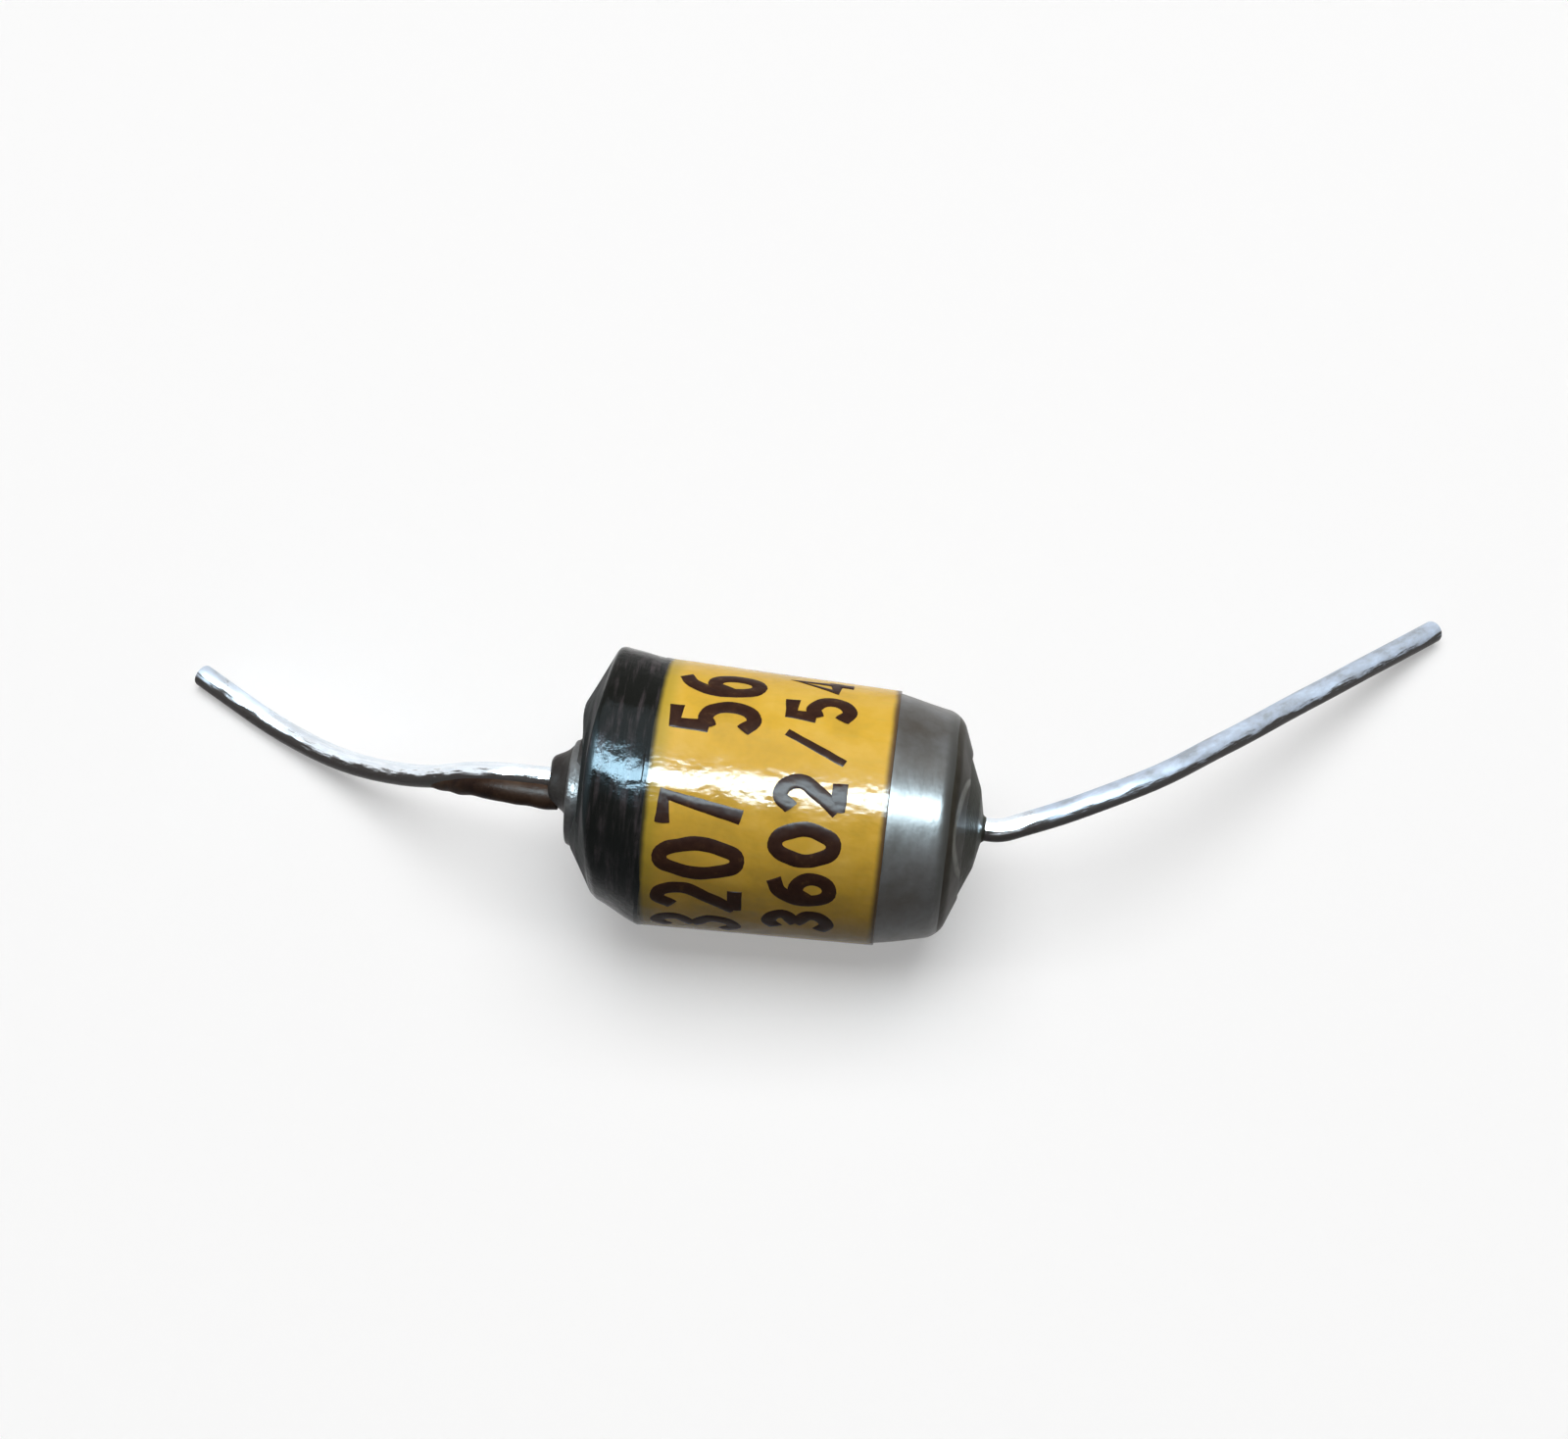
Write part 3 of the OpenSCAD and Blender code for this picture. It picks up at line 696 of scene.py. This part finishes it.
def stamped(words, foot, height, start):
    """A row of figures, wrapped round the label from an angle at the front towards the top."""
    strokes = bpy.data.curves.new(words, "CURVE")
    strokes.dimensions = "3D"
    strokes.bevel_depth = 1
    strokes.bevel_resolution = 3
    strokes.use_fill_caps = True
    strokes.resolution_u = 8
    width = DIGIT_PITCH * DIGIT_SHARE - PEN_D
    for i, figure in enumerate(words):
        pen = SLASH_PEN_D if figure == "/" else PEN_D
        for kind, *points in FIGURES.get(figure, ()):
            stroke = strokes.splines.new("BEZIER")
            stroke.bezier_points.add(len(points) - 1)
            stroke.use_cyclic_u = kind == "ring"
            for knot, (across, above) in zip(stroke.bezier_points, points):
                knot.co = (i * DIGIT_PITCH + PEN_D / 2 + across * width,
                           PEN_D / 2 + above * (height - PEN_D), 0)
                knot.radius = pen / 2
                knot.handle_left_type = knot.handle_right_type = "VECTOR" if kind == "line" else "AUTO"
    drawn = bpy.data.objects.new(words, strokes)
    bpy.context.scene.collection.objects.link(drawn)
    shape = bmesh.new()
    shape.from_mesh(drawn.evaluated_get(bpy.context.evaluated_depsgraph_get()).to_mesh())
    bpy.data.objects.remove(drawn)
    long_edges = [edge for edge in shape.edges if edge.calc_length() > PEN_D]
    bmesh.ops.subdivide_edges(shape, edges=long_edges, cuts=12)
    for corner in shape.verts:
        x, y, above = corner.co
        z = foot - y - noise.noise(Vector((x * 3, y * 3, foot))) * RAGGED
        reach = label_radius(z) + above / PEN_D * 2 * INK_T
        turn = math.radians(start) + (x + noise.noise(Vector((x * 3, y * 3, 9))) * RAGGED) / reach
        corner.co = (-reach * math.cos(turn), reach * math.sin(turn), z)
    return shape


ink = bmesh.new()
for words, foot, height, start in ROWS:
    row = stamped(words, foot, height, start)
    pressed = bpy.data.meshes.new("row")
    row.to_mesh(pressed)
    row.free()
    ink.from_mesh(pressed)
bmesh.ops.remove_doubles(ink, verts=ink.verts, dist=0.0005)
bmesh.ops.recalc_face_normals(ink, faces=ink.faces)

brown_ink = new_finish("brown_ink", Roughness=0.3, Specular_IOR_Level=0.03)
barrel = along_axis(brown_ink)
worn_ink = speckle(brown_ink, barrel, 3.5, detail=5)
join(brown_ink, ramp(brown_ink, worn_ink, (0.3, (0.030, 0.012, 0.008)), (0.6, (0.045, 0.019, 0.011)),
                     (0.8, (0.11, 0.055, 0.02))), "Base Color")
bumpy(brown_ink, speckle(brown_ink, barrel, 1.1, detail=3, stretch=(1, 1, 0.8)), 0.05)
label_print = finish_piece(ink, "label_print", brown_ink, 60)

# ---- Marking band ----------------------------------------------------------------------------
# Black lacquer brushed over the left shoulder and end, to mark the outer foil's side.
# It ran before it dried, so it is thicker at the back than at the front, with brush marks round it.

BAND_CORNER_D = 6.38
BAND_CORNER = -HALF_LABEL - BAND_LEN
BAND_END_D = 3.8
BAND_SKEW = 0.355
BAND_SKEW_TURN = math.radians(125)
BAND_EDGE_RADIUS = 0.3
LACQUER_LAP = 0.06
LACQUER_T = 0.015

# How uneven the brushed edge over the label is, and how lumpy the rest of the lacquer.
BRUSHED_EDGE = 0.05
BRISTLES = 0.03
LACQUER_LUMPS = 0.05

# At the front the lacquer's corner was drawn out along the body, and its end was pulled back.
DRAWN_OUT = -0.27
PULLED_BACK = 0.30

band = bmesh.new()
outline_of(band, (
    (label_radius(-HALF_LABEL + LACQUER_LAP), -HALF_LABEL + LACQUER_LAP, 0),
    (label_radius(-HALF_LABEL) + LACQUER_T, -HALF_LABEL, 0.3),
    (BAND_CORNER_D / 2, BAND_CORNER, BAND_EDGE_RADIUS),
    (BAND_END_D / 2, -BAND_END, 0.15),
    (SEAL_NECK_D / 2, -BAND_END, 0),
    (SEAL_NECK_D / 2, LEFT_MOUTH, 0),
    (LEFT_CORNER_D / 2 - 0.05, LEFT_CORNER, 0),
    (label_radius(-HALF_LABEL) - LABEL_T - 0.01, -HALF_LABEL, 0),
    (label_radius(-HALF_LABEL + LACQUER_LAP), -HALF_LABEL + LACQUER_LAP, 0),
))
spin_round(band)
aside = Vector((math.cos(BAND_SKEW_TURN), math.sin(BAND_SKEW_TURN), 0))
for corner in band.verts:
    x, y, z = corner.co
    wide = math.hypot(x, y)
    turn = Vector((x, y, 0)).normalized()
    along = (-HALF_LABEL - z) / BAND_LEN
    ending = max(0, (BAND_CORNER - z) / BAND_BEVEL_LEN)
    beyond_film = z < LEFT_MOUTH - 0.1
    if z > -HALF_LABEL - 0.05:
        corner.co.z += noise.noise(turn * 2.2) * BRUSHED_EDGE + noise.noise(turn * 7) * BRISTLES
    elif wide > SEAL_NECK_D / 2 + 0.01 and (wide > BAND_END_D / 2 - 0.2 or beyond_film):
        share = along if z > BAND_CORNER else 1 - ending / 2
        corner.co += aside * BAND_SKEW * share
        corner.co += turn * noise.noise(Vector((x * 0.7, y * 0.7, z * 1.4))) * LACQUER_LUMPS
    if z < -HALF_LABEL and (wide > LEFT_CORNER_D / 2 - 0.3 or z < LEFT_MOUTH - 0.01):
        toward = max(0, turn.dot(FRONT)) ** 4
        drawn = DRAWN_OUT * min(1, along) * (1 - ending) + PULLED_BACK * ending
        corner.co.z += toward * drawn

black_lacquer = new_finish("black_lacquer", Specular_IOR_Level=0.065,
                           Specular_Tint=(0.72, 0.89, 1, 1))
barrel = along_axis(black_lacquer)
brushed = speckle(black_lacquer, barrel, 1.1, detail=5, stretch=(0.6, 0.6, 5))
cloud = speckle(black_lacquer, barrel, 1.6, detail=5)
streaks = sums(black_lacquer, "MULTIPLY", level(black_lacquer, brushed, 0.45, 0.7),
               level(black_lacquer, cloud, 0.35, 0.6, 0.3, 1))
height = add(black_lacquer, "SeparateXYZ", {"Vector": barrel}).outputs["Z"]
bevel = level(black_lacquer, height, BAND_CORNER - 0.02, BAND_CORNER - 0.2)
lacquer = blend(black_lacquer, streaks, (0.008, 0.008, 0.006, 1), (0.055, 0.045, 0.047, 1))
# Pale specks on the lacquer are chips that also stand in for small painted glints.
chips_and_glints = level(black_lacquer, speckle(black_lacquer, barrel, 2.3, detail=2), 0.76, 0.78)
join(black_lacquer, blend(black_lacquer, chips_and_glints, lacquer, (0.5, 0.5, 0.5, 1)), "Base Color")
join(black_lacquer, sums(black_lacquer, "ADD", level(black_lacquer, cloud, 0.3, 0.7, 0.1, 0.2),
                         sums(black_lacquer, "MULTIPLY", bevel, 0.4)), "Roughness")
bumpy(black_lacquer, sums(black_lacquer, "ADD", sums(black_lacquer, "MULTIPLY", brushed, 0.5),
                          speckle(black_lacquer, barrel, 2.5, detail=4)), 0.022)
marking_band = finish_piece(band, "marking_band_lacquer", black_lacquer, 60)
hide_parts("marking_band")

# ---- Bench, light and camera -----------------------------------------------------------------
# A plain pale bench under the part. A soft lamp hangs overhead, with a bright tube in front of it.
# The camera stands in front and looks down on the label.

BENCH_HALF = 1.5

# Near the part this share of the bench is white by itself, which leaves the part's shadow on the
# rest. Between these distances, in metres, it rises to all of it, so that no horizon shows.
BENCH_WHITE = 0.36
BENCH_NEAR = 0.03
BENCH_FAR = 0.2

FLOOR = -(LABEL_D_LEFT + LABEL_D_RIGHT) / 4 * math.cos(LEAN) * MM
bench_form = bmesh.new()
bmesh.ops.create_grid(bench_form, x_segments=1, y_segments=1, size=BENCH_HALF)
bmesh.ops.translate(bench_form, vec=(0, 0, FLOOR), verts=bench_form.verts)
bench_mesh = bpy.data.meshes.new("bench")
bench_form.to_mesh(bench_mesh)
bench = bpy.data.objects.new("bench", bench_mesh)
bpy.context.scene.collection.objects.link(bench)
bench_paint = bpy.data.materials.new("bench_paint")
bench_paint.use_nodes = True
bench_mesh.materials.append(bench_paint)
bench_paint.node_tree.nodes.remove(bench_paint.node_tree.nodes["Principled BSDF"])
path = add(bench_paint, "LightPath").outputs
seen = sums(bench_paint, "MAXIMUM", path["Is Camera Ray"],
            sums(bench_paint, "MAXIMUM", path["Is Glossy Ray"], path["Is Transmission Ray"]))
paint = add(bench_paint, "BsdfDiffuse", {"Color": (0.92, 0.92, 0.92, 1)}).outputs["BSDF"]
glow = add(bench_paint, "Emission", {"Color": (1, 1, 1, 1), "Strength": 0.98}).outputs["Emission"]
from_part = add(bench_paint, "VectorMath", {0: add(bench_paint, "TexCoord").outputs["Object"]},
                operation="LENGTH").outputs["Value"]
whiter = level(bench_paint, from_part, BENCH_NEAR, BENCH_FAR, BENCH_WHITE, 1)
pale = add(bench_paint, "MixShader", {0: whiter, 1: paint, 2: glow}).outputs["Shader"]
dark = add(bench_paint, "BsdfDiffuse", {"Color": (0.05, 0.045, 0.04, 1)}).outputs["BSDF"]
both = add(bench_paint, "MixShader", {0: seen, 1: dark, 2: pale}).outputs["Shader"]
bench_paint.node_tree.links.new(both, bench_paint.node_tree.nodes["Material Output"].inputs["Surface"])


# Distance of the lamps from the part, in metres.
LAMP_AWAY = 0.3


def lamp(name, rise, wide, deep, power):
    """A flat rectangular lamp that faces the part: rise is 90 degrees overhead, and less in front."""
    light = bpy.data.lights.new(name, "AREA")
    light.shape = "RECTANGLE"
    light.size = wide
    light.size_y = deep
    light.energy = power
    holder = bpy.data.objects.new(name, light)
    bpy.context.scene.collection.objects.link(holder)
    toward = Vector((0, -math.cos(math.radians(rise)), math.sin(math.radians(rise))))
    holder.location = toward * LAMP_AWAY
    holder.rotation_mode = "QUATERNION"
    holder.rotation_quaternion = toward.to_track_quat("Z", "Y")
    return holder


# A soft panel lights the part. A bright narrow tube in front of it only shows as a reflection.
lamp("panel", rise=100, wide=0.3, deep=0.3, power=1.15)
tube = lamp("tube", rise=70.5, wide=0.4, deep=0.08, power=19.4)
tube.data.color = (0.7, 0.9, 1)
tube.visible_diffuse = False

# The room is white where it is seen or reflected, and gives the part only a little light.
room = bpy.data.worlds.new("room")
room.use_nodes = True
bpy.context.scene.world = room
around = blend(room, add(room, "LightPath").outputs["Is Diffuse Ray"],
               (0.97, 0.97, 0.97, 1), (0.08, 0.078, 0.075, 1))
room.node_tree.links.new(around, room.node_tree.nodes["Background"].inputs["Color"])

# The camera looks at a point a little to the right of the label's middle and above it.
CAMERA_TURN = math.radians(6.85)
CAMERA_RISE = math.radians(55)
CAMERA_AWAY = 72
CAMERA_ASIDE = 0.323
CAMERA_UP = 2.136
PIXELS_WIDE = 1600
FOCAL_PIXELS = 2923.2
back = Vector((math.sin(CAMERA_TURN) * math.cos(CAMERA_RISE),
               -math.cos(CAMERA_TURN) * math.cos(CAMERA_RISE), math.sin(CAMERA_RISE)))
right = Vector((math.cos(CAMERA_TURN), math.sin(CAMERA_TURN), 0))
up = back.cross(right)
lens = bpy.data.cameras.new("camera")
lens.sensor_width = 36
lens.lens = FOCAL_PIXELS / PIXELS_WIDE * lens.sensor_width
lens.clip_start = 0.001
lens.clip_end = 10
camera = bpy.data.objects.new("camera", lens)
bpy.context.scene.collection.objects.link(camera)
camera.location = (back * CAMERA_AWAY + right * CAMERA_ASIDE + up * CAMERA_UP) * MM
camera.rotation_mode = "QUATERNION"
camera.rotation_quaternion = back.to_track_quat("Z", "Y")
bpy.context.scene.camera = camera
bpy.context.scene.view_settings.view_transform = "Standard"
